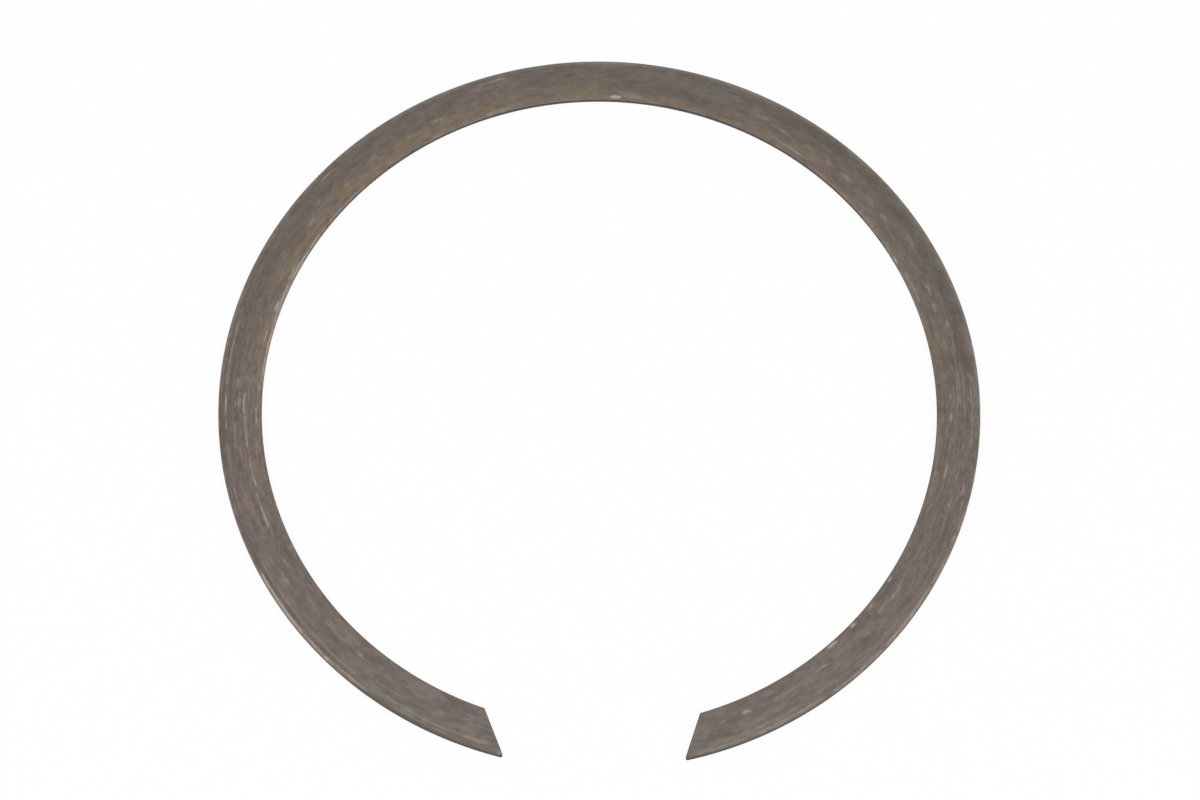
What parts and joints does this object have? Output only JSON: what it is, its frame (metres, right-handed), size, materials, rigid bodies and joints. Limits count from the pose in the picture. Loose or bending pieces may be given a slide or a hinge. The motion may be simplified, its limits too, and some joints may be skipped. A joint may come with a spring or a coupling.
{
  "type": "circlip retaining ring",
  "caption": "Flat one-piece snap ring for a groove in a bore, with a wide gap between slanted ends and a thinner outer margin.",
  "frame": {"origin": "on the ring's axis, at the middle of the wire's thickness", "axes": "+Z along the ring's axis, up as it lies flat; -Y through the middle of the gap; +X to the right seen from the gap"},
  "size_m": [0.1, 0.0985, 0.0006],
  "materials": {
    "spring_steel": "dark brown-grey oiled spring steel, semi-matt, with fine streaks along the wire and edges worn lighter"
  },
  "bodies": {
    "root": {"snap_ring": "spring_steel"}
  },
  "joints": []
}
